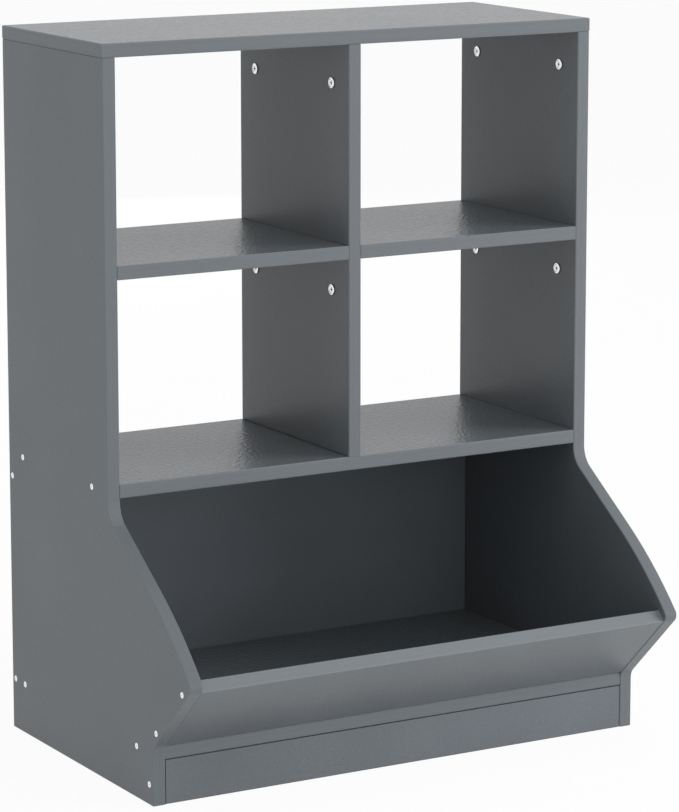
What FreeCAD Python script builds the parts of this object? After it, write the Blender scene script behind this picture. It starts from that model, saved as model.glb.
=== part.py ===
import FreeCAD, Part
import math
import os
import Sketcher

# Toy storage organizer with bins: four open cubbies over one full-width toy bin.
#
# Flat-pack furniture in 15 mm laminated board, eleven boards in all. The top lies over the
# two side panels and the centre divider. The divider stands on the lower shelf, which is the
# roof of the bin. The side panels swell forward below the cubbies, in one outline of straight
# runs and arcs, and carry the slanted bin front between them. The cubbies have no back.
#
# Frame: millimetres, +X to the right as seen from the front, the front faces -Y, +Z up.
# The origin is on the ground, in the middle of the overall width and depth.

DOCUMENT = FreeCAD.newDocument("toy_storage_organizer")
SHEET = DOCUMENT.addObject("Spreadsheet::Sheet", "Sizes")


# ---------------------------------------------------------------------------------------
# Sizes
# ---------------------------------------------------------------------------------------

class Size:
    """A length or angle: its number now, and its formula in cells of the sheet."""

    def __init__(self, formula, number):
        self.formula = formula
        self.number = number

    def __add__(self, other):
        other = as_size(other)
        return Size(f"({self.formula} + {other.formula})", self.number + other.number)

    def __sub__(self, other):
        other = as_size(other)
        return Size(f"({self.formula} - {other.formula})", self.number - other.number)

    def __mul__(self, other):
        other = as_size(other)
        return Size(f"({self.formula} * {other.formula})", self.number * other.number)

    def __truediv__(self, other):
        other = as_size(other)
        return Size(f"({self.formula} / {other.formula})", self.number / other.number)

    def __neg__(self):
        return Size(f"(0 - {self.formula})", -self.number)

    def __radd__(self, other):
        return as_size(other) + self

    def __rsub__(self, other):
        return as_size(other) - self

    def __rmul__(self, other):
        return as_size(other) * self


def as_size(value):
    return value if isinstance(value, Size) else Size(str(value), float(value))


ZERO = as_size(0)


def sine(angle):
    return Size(f"sin({angle.formula})", math.sin(math.radians(angle.number)))


def cosine(angle):
    return Size(f"cos({angle.formula})", math.cos(math.radians(angle.number)))


def tangent(angle):
    return Size(f"tan({angle.formula})", math.tan(math.radians(angle.number)))


def steepness(rise, run):
    """The angle above level of a line that climbs by rise over a level run."""
    angle = math.degrees(math.atan(rise.number / run.number))
    return Size(f"(atan({rise.formula} / {run.formula}) / 1 deg)", angle)


def cell(alias, number, meaning):
    """Writes one driving size into the next row of the sheet."""
    row = cell.rows = getattr(cell, "rows", 0) + 1
    SHEET.set(f"A{row}", alias)
    SHEET.set(f"B{row}", str(number))
    SHEET.set(f"C{row}", meaning)
    SHEET.setAlias(f"B{row}", alias)
    return Size(f"Sizes.{alias}", float(number))


# The carcass
overall_width = cell("overall_width", 600, "over the outer faces of the side panels")
overall_height = cell("overall_height", 785, "ground to the top face")
board = cell("board", 15, "thickness of every board")
arris = cell("arris", 0.8, "chamfer of the boards' softened edges")
cabinet_depth = cell("cabinet_depth", 243.5, "front to back over the cubbies")
lower_shelf_height = cell("lower_shelf_height", 321.5, "ground to the top of the lower shelf")
toe_kick_height = cell("toe_kick_height", 48.5, "ground to the underside of the bin floor")

# The side panels' outline below the cubbies, measured forward of the cubbies' front
bin_reach = cell("bin_reach", 184.3, "foremost point of the nose")
foot_reach = cell("foot_reach", 98.7, "front of the foot")
shoulder_drop = cell("shoulder_drop", 18.1, "shoulder below the underside of the lower shelf")
brow_lift = cell("brow_lift", 5.7, "degrees, straight run above the line from shoulder to nose")
shoulder_fillet = cell("shoulder_fillet", 28, "hollow at the shoulder")
brow_radius = cell("brow_radius", 490, "swelling arc from the straight run to the nose")
nose_radius = cell("nose_radius", 8, "rounded nose")
slant_angle = cell("slant_angle", 43.3, "degrees above level, underside of the nose")
slant_foot_drop = cell("slant_foot_drop", 1.9, "slant meets the foot, below the floor's top")
foot_fillet = cell("foot_fillet", 15, "hollow where the slant meets the foot")

# The bin front and the toe kick
front_top_inset = cell("front_top_inset", 2.8, "bin front's top edge behind the nose")
front_panel_setback = cell("front_panel_setback", 0.5, "bin front behind the side panels' slant")
toe_setback = cell("toe_setback", 0.5, "toe kick and bin floor behind the feet")

# Places of the fixings
front_inset = cell("front_inset", 37, "fixings behind a board's front edge")
back_inset = cell("back_inset", 35, "fixings ahead of a board's back edge")
dowel_spacing = cell("dowel_spacing", 32, "dowel from the fixing next to it")
side_cam_drop = cell("side_cam_drop", 39, "side panels' cams below the top panel")
divider_cam_drop = cell("divider_cam_drop", 44, "divider's cams below the top panel")
lower_cam_drop = cell("lower_cam_drop", 37.5, "lower cubbies' cams below the mid shelves")
back_upper_screw = cell("back_upper_screw", 18, "bin back's upper screw below the shelf")
back_lower_screw = cell("back_lower_screw", 6.5, "bin back's lower screw below the floor's top")
floor_back_screw = cell("floor_back_screw", 17, "bin floor's rear screw from its rear edge")
floor_front_screw = cell("floor_front_screw", 36, "bin floor's front screw from its front edge")
front_upper_screw = cell("front_upper_screw", 14, "bin front's upper screw from its top")
front_lower_screw = cell("front_lower_screw", 17, "bin front's lower screw from its bottom")
toe_screw_drop = cell("toe_screw_drop", 26.5, "toe kick's screw below the bin floor")
toe_dowel_offset = cell("toe_dowel_offset", 150, "toe kick's dowels either side of the middle")

# Screws
screw_length = cell("screw_length", 50, "over all")
screw_head = cell("screw_head", 7, "diameter of the flat head")
screw_head_height = cell("screw_head_height", 2.5, "of the flat head")
screw_shank = cell("screw_shank", 5, "shank, across its corners")

# Cam locks and their bolts
cam_diameter = cell("cam_diameter", 12, "of the cam's body")
cam_height = cell("cam_height", 10.5, "of the cam's body")
cam_recess = cell("cam_recess", 0.8, "cam's face below the board's face")
cam_cross_width = cell("cam_cross_width", 2, "arms of the cross recess")
cam_cross_span = cell("cam_cross_span", 7, "tip to tip of the cross recess")
cam_cross_depth = cell("cam_cross_depth", 2, "of the cross recess")
bolt_thread = cell("bolt_thread", 6, "screwed end, across its corners")
bolt_thread_length = cell("bolt_thread_length", 9.5, "of the screwed end")
bolt_shank = cell("bolt_shank", 6.5, "shank, across its corners")
bolt_neck = cell("bolt_neck", 3, "neck that the cam's hook grips, across its corners")
bolt_neck_length = cell("bolt_neck_length", 5, "of the neck")
bolt_head = cell("bolt_head", 5, "head in the cam, across its corners")
bolt_head_length = cell("bolt_head_length", 2.5, "of the head in the cam")

# Wooden dowels
dowel_diameter = cell("dowel_diameter", 8, "of every dowel, across its corners")
dowel_in_edge = cell("dowel_in_edge", 20, "dowel's stretch in a board's edge")
dowel_in_face = cell("dowel_in_face", 9.5, "dowel's stretch in a board's face")

# Clearances
bore_clearance = cell("bore_clearance", 0.1, "round a fixing in its bore")
end_clearance = cell("end_clearance", 0.5, "past the end of a fixing in its bore")

# Heights and places that follow from them
back = (cabinet_depth + bin_reach) / 2
front = back - cabinet_depth
foot_front = front - foot_reach
toe_front = foot_front + toe_setback
inner_width = overall_width - 2 * board
half_inner = inner_width / 2
side_height = overall_height - board
lower_shelf_under = lower_shelf_height - board
divider_height = side_height - lower_shelf_height
cubby_height = (divider_height - board) / 2
mid_shelf_under = lower_shelf_height + cubby_height
mid_shelf_middle = mid_shelf_under + board / 2
lower_shelf_middle = lower_shelf_under + board / 2
shelf_width = (inner_width - board) / 2
bin_back_front = back - board
bin_back_middle = back - board / 2
floor_top = toe_kick_height + board
floor_middle = toe_kick_height + board / 2
toe_middle = toe_front + board / 2

# The side panels' outline below the cubbies
shoulder_height = lower_shelf_under - shoulder_drop
slant_foot_height = floor_top - slant_foot_drop
nose_y = front - bin_reach + nose_radius
nose_rise = (foot_front - nose_y) * tangent(slant_angle) + nose_radius / cosine(slant_angle)
nose_z = slant_foot_height + nose_rise
shoulder_slope = steepness(shoulder_height - nose_z, front - nose_y) - brow_lift

fixing_front = front + front_inset
fixing_back = back - back_inset
fixing_rows = (fixing_front, fixing_back)
dowel_rows = (fixing_front + dowel_spacing, fixing_back - dowel_spacing)
uprights = (board / 2 - overall_width / 2, ZERO, overall_width / 2 - board / 2)

cam_bore = cam_diameter + 2 * bore_clearance
cam_bore_depth = cam_height + cam_recess
bolt_bore = bolt_shank + 2 * bore_clearance
thread_bore = bolt_thread + 2 * bore_clearance
thread_bore_depth = bolt_thread_length + end_clearance
dowel_bore = dowel_diameter + 2 * bore_clearance
dowel_edge_depth = dowel_in_edge + end_clearance
dowel_face_depth = dowel_in_face + end_clearance
shank_bore = screw_shank + 2 * bore_clearance
head_bore = screw_head + 2 * bore_clearance
pilot_depth = screw_length - board + end_clearance

# The slanted bin front: its face runs parallel to the side panels' slant, set back from it
front_foot = foot_front + front_panel_setback / sine(slant_angle) \
    - slant_foot_drop / tangent(slant_angle)
front_top = front - bin_reach + front_top_inset
front_panel_length = (front_foot - front_top) / cosine(slant_angle)
front_top_height = floor_top + front_panel_length * sine(slant_angle)


def front_panel_place(along):
    """Y and Z of the bin front's mid-plane, at a distance along its face from the bottom."""
    y = front_foot - along * cosine(slant_angle) + board / 2 * sine(slant_angle)
    z = floor_top + along * sine(slant_angle) + board / 2 * cosine(slant_angle)
    return y, z


front_screw_places = [
    front_panel_place(front_panel_length - front_upper_screw),
    front_panel_place(front_lower_screw),
]
lower_shelf_screw_places = [(y, lower_shelf_middle) for y in fixing_rows]
back_screw_places = [
    (bin_back_middle, lower_shelf_under - back_upper_screw),
    (bin_back_middle, floor_top - back_lower_screw),
]
floor_screw_places = [
    (toe_front + floor_front_screw, floor_middle),
    (bin_back_front - floor_back_screw, floor_middle),
]
toe_screw_places = [(toe_middle, toe_kick_height - toe_screw_drop)]
side_screw_places = (
    lower_shelf_screw_places + back_screw_places + floor_screw_places
    + front_screw_places + toe_screw_places
)
toe_dowel_sides = (-toe_dowel_offset, toe_dowel_offset)


# ---------------------------------------------------------------------------------------
# Sketches and features
# ---------------------------------------------------------------------------------------

# Sign of each origin plane's normal along its own axis
PLANE_NORMAL = {"XY_Plane": 1, "YZ_Plane": 1, "XZ_Plane": -1}

# What stays inside the boards, the shanks of the fixings and their bores, is eight-sided.
# It stands for screw threads and fluted dowels, and keeps the many repeats light.
HIDDEN_CORNERS = [math.radians(22.5 + 45 * step) for step in range(8)]


def bind(thing, name, size):
    thing.setExpression(name, size.formula)


def new_body(label, x=ZERO, y=ZERO, z=ZERO):
    """A body that stands at x, y, z."""
    body = DOCUMENT.addObject("PartDesign::Body", label)
    for axis, size in (("x", x), ("y", y), ("z", z)):
        bind(body, f"Placement.Base.{axis}", size)
    return body


def new_sketch(body, name, plane, lift=ZERO):
    """A sketch on one of the body's own origin planes, lifted along the plane's axis."""
    sketch = body.newObject("Sketcher::SketchObject", name)
    support = next(item for item in body.Origin.OriginFeatures if item.Role == plane)
    sketch.AttachmentSupport = [(support, "")]
    sketch.MapMode = "FlatFace"
    bind(sketch, "AttachmentOffset.Base.z", PLANE_NORMAL[plane] * lift)
    return sketch


def plane_of(sketch):
    return sketch.AttachmentSupport[0][0].Role


def constrain(sketch, kind, *parts, size):
    """A dimension in the sketch whose value is a formula of the sheet."""
    index = sketch.addConstraint(Sketcher.Constraint(kind, *parts, size.number))
    bind(sketch, f"Constraints[{index}]", size)


def place_point(sketch, geometry, end, x, y):
    """Dimensions a point of the sketch from the sketch's origin."""
    constrain(sketch, "DistanceX", -1, 1, geometry, end, size=x)
    constrain(sketch, "DistanceY", -1, 1, geometry, end, size=y)


def vector(x, y):
    return FreeCAD.Vector(x.number, y.number, 0)


def draw_outline(sketch, corners):
    """A closed outline of straight lines through the corners."""
    lines = [
        sketch.addGeometry(Part.LineSegment(vector(*start), vector(*end)), False)
        for start, end in zip(corners, corners[1:] + corners[:1])
    ]
    for line, following in zip(lines, lines[1:] + lines[:1]):
        sketch.addConstraint(Sketcher.Constraint("Coincident", line, 2, following, 1))
    for line, corner in zip(lines, corners):
        place_point(sketch, line, 1, *corner)


def draw_rectangle(sketch, left, bottom, right, top):
    draw_outline(sketch, [(left, bottom), (right, bottom), (right, top), (left, top)])


def draw_circles(sketch, centres, diameter):
    for centre in centres:
        circle = Part.Circle(vector(*centre), FreeCAD.Vector(0, 0, 1), diameter.number / 2)
        index = sketch.addGeometry(circle, False)
        constrain(sketch, "Diameter", index, size=diameter)
        place_point(sketch, index, 3, *centre)


def draw_hidden(sketch, centres, diameter):
    """Eight-sided outlines, as wide as the diameter across their corners."""
    radius = diameter / 2
    for x, y in centres:
        draw_outline(sketch, [
            (x + radius * math.cos(angle), y + radius * math.sin(angle))
            for angle in HIDDEN_CORNERS
        ])


def pad(body, sketch, length, name="board"):
    """Thickens a sketch along the positive direction of its plane's axis."""
    feature = body.newObject("PartDesign::Pad", name)
    feature.Profile = sketch
    bind(feature, "Length", length)
    feature.Reversed = plane_of(sketch) == "XZ_Plane"
    body.Tip = feature
    DOCUMENT.recompute()


def sink(body, sketch, depth, towards, name):
    """Cuts a sketch into the body, towards +1 or -1 along its plane's axis."""
    before = body.Shape.Volume
    feature = body.newObject("PartDesign::Pocket", name)
    feature.Profile = sketch
    bind(feature, "Length", depth)
    feature.Reversed = towards == PLANE_NORMAL[plane_of(sketch)]
    body.Tip = feature
    DOCUMENT.recompute()
    if not body.Shape.Volume < before:
        raise RuntimeError(f"{body.Label}: {name} cuts nothing")


def bore(body, name, plane, lift, centres, diameter, depth, towards):
    """Round bores of one size, from a plane at lift, towards +1 or -1 along its axis."""
    sketch = new_sketch(body, f"{name}_sketch", plane, lift)
    draw_circles(sketch, centres, diameter)
    sink(body, sketch, depth, towards, name)


def hidden_bore(body, name, plane, lift, centres, diameter, depth, towards):
    """Eight-sided bores for what stays inside the boards, placed like round ones."""
    sketch = new_sketch(body, f"{name}_sketch", plane, lift)
    draw_hidden(sketch, centres, diameter)
    sink(body, sketch, depth, towards, name)


def dress_edges(body, kind, name, dimension, size, is_chosen):
    """A Fillet or Chamfer on those edges of the body's shape that is_chosen() accepts."""
    base = body.Tip
    chosen = [f"Edge{i + 1}" for i, edge in enumerate(base.Shape.Edges) if is_chosen(edge)]
    feature = body.newObject(f"PartDesign::{kind}", name)
    feature.Base = (base, chosen)
    bind(feature, dimension, size)
    body.Tip = feature
    DOCUMENT.recompute()


def soften_arrises(body, distance_in):
    """Chamfers every edge round the board's two broad faces.

    distance_in gives a point's distance into the board from the first broad face.
    """
    def is_on_a_broad_face(edge):
        depths = [distance_in(vertex.Point) for vertex in edge.Vertexes]
        return any(all(abs(depth - face) < 0.01 for depth in depths)
                   for face in (0, board.number))
    dress_edges(body, "Chamfer", "arrises", "Size", arris, is_on_a_broad_face)


# ---------------------------------------------------------------------------------------
# Boards
# ---------------------------------------------------------------------------------------

def flat_board(label, plane, left, bottom, right, top, **place):
    """A rectangular board: the rectangle's corners are in the plane, its thickness off it."""
    body = new_body(label, **place)
    sketch = new_sketch(body, "outline", plane)
    draw_rectangle(sketch, left, bottom, right, top)
    pad(body, sketch, board)
    axis = {"XY_Plane": "z", "YZ_Plane": "x", "XZ_Plane": "y"}[plane]
    soften_arrises(body, lambda point: getattr(point, axis))
    return body


def bore_ends(body, name, places, half_width, diameter, depth):
    """The same bores into both ends of a board that lies between two uprights."""
    hidden_bore(body, f"{name}_left", "YZ_Plane", -half_width, places, diameter, depth, 1)
    hidden_bore(body, f"{name}_right", "YZ_Plane", half_width, places, diameter, depth, -1)


def at_level(places, level):
    """Places measured from a level instead of from the ground."""
    return [(y, z - level) for y, z in places]


def make_top_panel():
    body = flat_board(
        "top_panel", "XY_Plane",
        -overall_width / 2, front, overall_width / 2, back, z=side_height,
    )
    bolts = [(x, y) for x in uprights for y in fixing_rows]
    dowels = [(x, y) for x in uprights for y in dowel_rows]
    hidden_bore(body, "bolt_bore", "XY_Plane", ZERO, bolts, thread_bore,
                thread_bore_depth, 1)
    hidden_bore(body, "dowel_bore", "XY_Plane", ZERO, dowels, dowel_bore,
                dowel_face_depth, 1)
    return body


def draw_side_outline(sketch):
    """The side panel's outline, as Y and Z.

    From the ground up the back, along the top, down the cubbies' front to the shoulder, out
    along the straight run and the brow arc to the nose, and back down the slant to the foot.
    """
    # The brow arc touches the straight run and, from inside, the nose. Distances are taken
    # along the run from the shoulder, and square to the run into the board.
    slope = math.radians(shoulder_slope.number)
    slant = math.radians(slant_angle.number)
    shoulder = vector(front, shoulder_height)
    nose = vector(nose_y, nose_z)
    run = FreeCAD.Vector(-math.cos(slope), -math.sin(slope), 0)
    inward = FreeCAD.Vector(math.sin(slope), -math.cos(slope), 0)
    radius = brow_radius.number
    between = radius - nose_radius.number
    nose_depth = (nose - shoulder).dot(inward)
    nose_along = (nose - shoulder).dot(run)
    run_length = nose_along - math.sqrt(between ** 2 - (radius - nose_depth) ** 2)
    run_end = shoulder + run * run_length
    brow = run_end + inward * radius
    brow_end = brow + (nose - brow) * (radius / between)
    slant_normal = FreeCAD.Vector(-math.sin(slant), -math.cos(slant), 0)
    slant_start = nose + slant_normal * nose_radius.number
    foot = vector(foot_front, slant_foot_height)

    corners = [
        vector(foot_front, ZERO), vector(back, ZERO), vector(back, side_height),
        vector(front, side_height), shoulder, run_end,
    ]
    for start, end in zip(corners, corners[1:]):
        sketch.addGeometry(Part.LineSegment(start, end), False)
    ground, rear, top, cubby_front, straight_run = range(5)

    def add_arc(centre, radius, start, end):
        angles = [math.atan2((p - centre).y, (p - centre).x) for p in (start, end)]
        if angles[1] < angles[0]:
            angles[1] += 2 * math.pi
        circle = Part.Circle(centre, FreeCAD.Vector(0, 0, 1), radius)
        return sketch.addGeometry(Part.ArcOfCircle(circle, *angles), False)

    brow_arc = add_arc(brow, radius, run_end, brow_end)
    nose_arc = add_arc(nose, nose_radius.number, brow_end, slant_start)
    slant_line = sketch.addGeometry(Part.LineSegment(slant_start, foot), False)
    foot_line = sketch.addGeometry(Part.LineSegment(foot, corners[0]), False)

    def join(kind, first, second):
        """Joins the end of one piece of the outline to the start of the next."""
        sketch.addConstraint(Sketcher.Constraint(kind, first, 2, second, 1))

    join("Coincident", ground, rear)
    join("Coincident", rear, top)
    join("Coincident", top, cubby_front)
    join("Coincident", cubby_front, straight_run)
    join("Tangent", straight_run, brow_arc)
    join("Tangent", brow_arc, nose_arc)
    join("Tangent", nose_arc, slant_line)
    join("Coincident", slant_line, foot_line)
    join("Coincident", foot_line, ground)

    place_point(sketch, ground, 1, foot_front, ZERO)
    place_point(sketch, ground, 2, back, ZERO)
    place_point(sketch, rear, 2, back, side_height)
    place_point(sketch, top, 2, front, side_height)
    place_point(sketch, cubby_front, 2, front, shoulder_height)
    place_point(sketch, nose_arc, 3, nose_y, nose_z)
    place_point(sketch, slant_line, 2, foot_front, slant_foot_height)
    constrain(sketch, "Radius", brow_arc, size=brow_radius)
    constrain(sketch, "Radius", nose_arc, size=nose_radius)
    constrain(sketch, "Angle", straight_run, size=shoulder_slope - 180)


def make_side_panel(label, left):
    """One side panel. The left one's inner face looks towards +X, the right one's to -X."""
    place = -overall_width / 2 if left else overall_width / 2 - board
    inner, outer = (board, ZERO) if left else (ZERO, board)
    inward = -1 if left else 1
    body = new_body(label, x=place)
    sketch = new_sketch(body, "outline", "YZ_Plane")
    draw_side_outline(sketch)
    pad(body, sketch, board)

    def is_at(y, z):
        return lambda edge: all(
            abs(vertex.Y - y.number) < 0.01 and abs(vertex.Z - z.number) < 0.01
            for vertex in edge.Vertexes)

    dress_edges(body, "Fillet", "shoulder_hollow", "Radius", shoulder_fillet,
                is_at(front, shoulder_height))
    dress_edges(body, "Fillet", "foot_hollow", "Radius", foot_fillet,
                is_at(foot_front, slant_foot_height))
    soften_arrises(body, lambda point: point.x)

    middle = board / 2
    bolts = [(middle, y) for y in fixing_rows]
    dowels = [(middle, y) for y in dowel_rows]
    hidden_bore(body, "top_bolt_bore", "XY_Plane", side_height, bolts, bolt_bore,
                side_cam_drop, -1)
    hidden_bore(body, "top_dowel_bore", "XY_Plane", side_height, dowels, dowel_bore,
                dowel_edge_depth, -1)
    cam_levels = (side_height - side_cam_drop, mid_shelf_under - lower_cam_drop)
    cams = [(y, z) for y in fixing_rows for z in cam_levels]
    bore(body, "cam_bores", "YZ_Plane", inner, cams, cam_bore, cam_bore_depth, inward)
    shelf_dowels = [(y, mid_shelf_middle) for y in fixing_rows]
    hidden_bore(body, "shelf_dowel_bore", "YZ_Plane", inner, shelf_dowels, dowel_bore,
                dowel_face_depth, inward)
    bore(body, "head_bores", "YZ_Plane", outer, side_screw_places, head_bore,
         screw_head_height, -inward)
    hidden_bore(body, "shank_bore", "YZ_Plane", outer, side_screw_places, shank_bore,
                board, -inward)
    return body


def make_divider():
    body = flat_board(
        "centre_divider", "YZ_Plane", front, ZERO, back, divider_height,
        x=-board / 2, z=lower_shelf_height,
    )
    middle = board / 2
    fixings = [(middle, y) for y in fixing_rows]
    dowels = [(middle, y) for y in dowel_rows]
    hidden_bore(body, "top_bolt_bore", "XY_Plane", divider_height, fixings, bolt_bore,
                divider_cam_drop, -1)
    hidden_bore(body, "top_dowel_bore", "XY_Plane", divider_height, dowels, dowel_bore,
                dowel_edge_depth, -1)
    hidden_bore(body, "foot_dowel_bore", "XY_Plane", ZERO, fixings, dowel_bore,
                dowel_edge_depth, 1)
    cam_levels = (divider_height - divider_cam_drop, cubby_height - lower_cam_drop)
    cams = [(y, z) for y in fixing_rows for z in cam_levels]
    bore(body, "cam_bores", "YZ_Plane", ZERO, cams, cam_bore, cam_bore_depth, 1)
    shelf_dowels = [(y, cubby_height + board / 2) for y in fixing_rows]
    hidden_bore(body, "shelf_dowel_bore", "YZ_Plane", ZERO, shelf_dowels, dowel_bore,
                board, 1)
    return body


def make_mid_shelf(label, middle_x):
    half = shelf_width / 2
    body = flat_board(
        label, "XY_Plane", -half, front, half, back, x=middle_x, z=mid_shelf_under)
    dowels = [(y, board / 2) for y in fixing_rows]
    bore_ends(body, "dowel_bore", dowels, half, dowel_bore, dowel_edge_depth)
    return body


def make_lower_shelf():
    body = flat_board(
        "lower_shelf", "XY_Plane", -half_inner, front, half_inner, back,
        z=lower_shelf_under,
    )
    ends = at_level(lower_shelf_screw_places, lower_shelf_under)
    bore_ends(body, "screw_bore", ends, half_inner, shank_bore, pilot_depth)
    dowels = [(ZERO, y) for y in fixing_rows]
    hidden_bore(body, "divider_dowel_bore", "XY_Plane", board, dowels, dowel_bore,
                dowel_face_depth, -1)
    return body


def make_bin_back():
    body = flat_board(
        "bin_back_panel", "XZ_Plane", -half_inner, ZERO, half_inner, lower_shelf_under,
        y=bin_back_front,
    )
    ends = [(y - bin_back_front, z) for y, z in back_screw_places]
    bore_ends(body, "screw_bore", ends, half_inner, shank_bore, pilot_depth)
    return body


def make_bin_floor():
    body = flat_board(
        "bin_floor", "XY_Plane", -half_inner, toe_front, half_inner, bin_back_front,
        z=toe_kick_height,
    )
    ends = at_level(floor_screw_places, toe_kick_height)
    bore_ends(body, "screw_bore", ends, half_inner, shank_bore, pilot_depth)
    dowels = [(x, toe_middle) for x in toe_dowel_sides]
    hidden_bore(body, "toe_dowel_bore", "XY_Plane", ZERO, dowels, dowel_bore,
                dowel_face_depth, 1)
    return body


def make_bin_front():
    """The slanted front: its foot is cut level to stand on the floor, its top is square."""
    body = new_body("bin_front_panel")
    sketch = new_sketch(body, "section", "YZ_Plane", -half_inner)
    draw_outline(sketch, [
        (front_foot, floor_top),
        (front_foot + board / sine(slant_angle), floor_top),
        (front_top + board * sine(slant_angle), front_top_height + board * cosine(slant_angle)),
        (front_top, front_top_height),
    ])
    pad(body, sketch, inner_width)

    face = vector(front_foot, floor_top)
    into_board = vector(sine(slant_angle), cosine(slant_angle))
    soften_arrises(body, lambda p: (FreeCAD.Vector(p.y, p.z, 0) - face).dot(into_board))
    bore_ends(body, "screw_bore", front_screw_places, half_inner, shank_bore, pilot_depth)
    return body


def make_toe_kick():
    body = flat_board(
        "toe_kick", "XZ_Plane", -half_inner, ZERO, half_inner, toe_kick_height,
        y=toe_front,
    )
    ends = [(y - toe_front, z) for y, z in toe_screw_places]
    bore_ends(body, "screw_bore", ends, half_inner, shank_bore, pilot_depth)
    dowels = [(x, board / 2) for x in toe_dowel_sides]
    hidden_bore(body, "dowel_bore", "XY_Plane", toe_kick_height, dowels, dowel_bore,
                dowel_edge_depth, -1)
    return body


# ---------------------------------------------------------------------------------------
# Fixings
# ---------------------------------------------------------------------------------------

def add_stretch(body, name, draw, low, high, diameter):
    """A stretch of a fixing, from low to high along +Z, round or eight-sided by draw."""
    sketch = new_sketch(body, f"{name}_sketch", "XY_Plane", low)
    draw(sketch, [(ZERO, ZERO)], diameter)
    pad(body, sketch, high - low, name)


def make_screw():
    """Screw along +Z from its flat head, which lies flush at the origin."""
    body = new_body("screw_pattern")
    add_stretch(body, "head", draw_circles, ZERO, screw_head_height, screw_head)
    add_stretch(body, "shank", draw_hidden, screw_head_height, screw_length, screw_shank)
    return body


def make_dowel(label, low, high):
    """Dowel along Z, from low to high."""
    body = new_body(label)
    add_stretch(body, "dowel", draw_hidden, low, high, dowel_diameter)
    return body


def make_cam_bolt(label, reach):
    """Cam bolt: screwed end below the origin, shank and neck above, head at reach."""
    body = new_body(label)
    neck_end = reach - bolt_head_length
    shank_end = neck_end - bolt_neck_length
    add_stretch(body, "screwed_end", draw_hidden, -bolt_thread_length, ZERO, bolt_thread)
    add_stretch(body, "shank", draw_hidden, ZERO, shank_end, bolt_shank)
    add_stretch(body, "neck", draw_hidden, shank_end, neck_end, bolt_neck)
    add_stretch(body, "head", draw_hidden, neck_end, reach, bolt_head)
    return body


def make_cam_lock():
    """Cam lock, its cross-slotted face at the origin, its body below, its mouth to +X."""
    body = new_body("cam_pattern")
    add_stretch(body, "cam", draw_circles, -cam_height, ZERO, cam_diameter)
    arm, tip = cam_cross_width / 2, cam_cross_span / 2
    cross = new_sketch(body, "cross_sketch", "XY_Plane")
    draw_outline(cross, [
        (tip, -arm), (tip, arm), (arm, arm), (arm, tip), (-arm, tip), (-arm, arm),
        (-tip, arm), (-tip, -arm), (-arm, -arm), (-arm, -tip), (arm, -tip), (arm, -arm),
    ])
    sink(body, cross, cam_cross_depth, -1, "cross_recess")
    half_mouth = bolt_head / 2 + bore_clearance
    bolt_axis = cam_recess - board / 2
    mouth = new_sketch(body, "mouth_sketch", "XY_Plane", bolt_axis + half_mouth)
    draw_rectangle(mouth, -bore_clearance, -half_mouth, cam_diameter, half_mouth)
    sink(body, mouth, 2 * half_mouth, -1, "bolt_mouth")
    return body


ALONG_X = FreeCAD.Rotation(FreeCAD.Vector(0, 1, 0), 90)
AGAINST_X = FreeCAD.Rotation(FreeCAD.Vector(0, 1, 0), -90)
ALONG_Z = FreeCAD.Rotation()
AGAINST_Z = FreeCAD.Rotation(FreeCAD.Vector(1, 0, 0), 180)


def group(label, copies):
    """A node of separate identical fixings: (pattern, turn, x, y, z) for each of them."""
    links = []
    for number, (pattern, turn, x, y, z) in enumerate(copies, start=1):
        link = DOCUMENT.addObject("App::Link", f"{label}_{number}")
        link.LinkedObject = pattern
        link.Placement = FreeCAD.Placement(FreeCAD.Vector(), turn)
        for axis, size in (("x", x), ("y", y), ("z", z)):
            bind(link, f"Placement.Base.{axis}", size)
        links.append(link)
    compound = DOCUMENT.addObject("Part::Compound", label)
    compound.Links = links
    return compound


def screws_both_sides(label, screw, places):
    """Screws through both side panels, with their heads flush with the outer faces."""
    half = overall_width / 2
    left = [(screw, ALONG_X, -half, y, z) for y, z in places]
    right = [(screw, AGAINST_X, half, y, z) for y, z in places]
    return group(label, left + right)


def cams_in_upright(label, cam, face_x, looks, levels):
    """Cam locks in an upright's face, which looks towards +1 or -1 along X.

    Each cam's face is turned to the cubby, and its mouth upwards, to the bolt.
    """
    facing = FreeCAD.Vector(looks, 0, 0)
    up = FreeCAD.Vector(0, 0, 1)
    turn = FreeCAD.Rotation(up, FreeCAD.Vector(), facing, "XZY")
    x = face_x - looks * cam_recess
    return group(label, [(cam, turn, x, y, z) for z in levels for y in fixing_rows])


def make_cam_locks():
    cam = make_cam_lock()
    lower = mid_shelf_under - lower_cam_drop
    side_levels = (side_height - side_cam_drop, lower)
    divider_levels = (side_height - divider_cam_drop, lower)
    return [
        cams_in_upright("side_left_cam_locks", cam, -half_inner, 1, side_levels),
        cams_in_upright("side_right_cam_locks", cam, half_inner, -1, side_levels),
        cams_in_upright("divider_cam_locks", cam, -board / 2, -1, divider_levels),
    ]


def make_cam_bolts():
    side_bolt = make_cam_bolt("side_bolt_pattern", side_cam_drop)
    divider_bolt = make_cam_bolt("divider_bolt_pattern", divider_cam_drop)
    left, middle, right = uprights
    return [
        group("side_cam_bolts", [
            (side_bolt, AGAINST_Z, x, y, side_height)
            for x in (left, right) for y in fixing_rows]),
        group("divider_cam_bolts", [
            (divider_bolt, AGAINST_Z, middle, y, side_height) for y in fixing_rows]),
    ]


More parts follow.
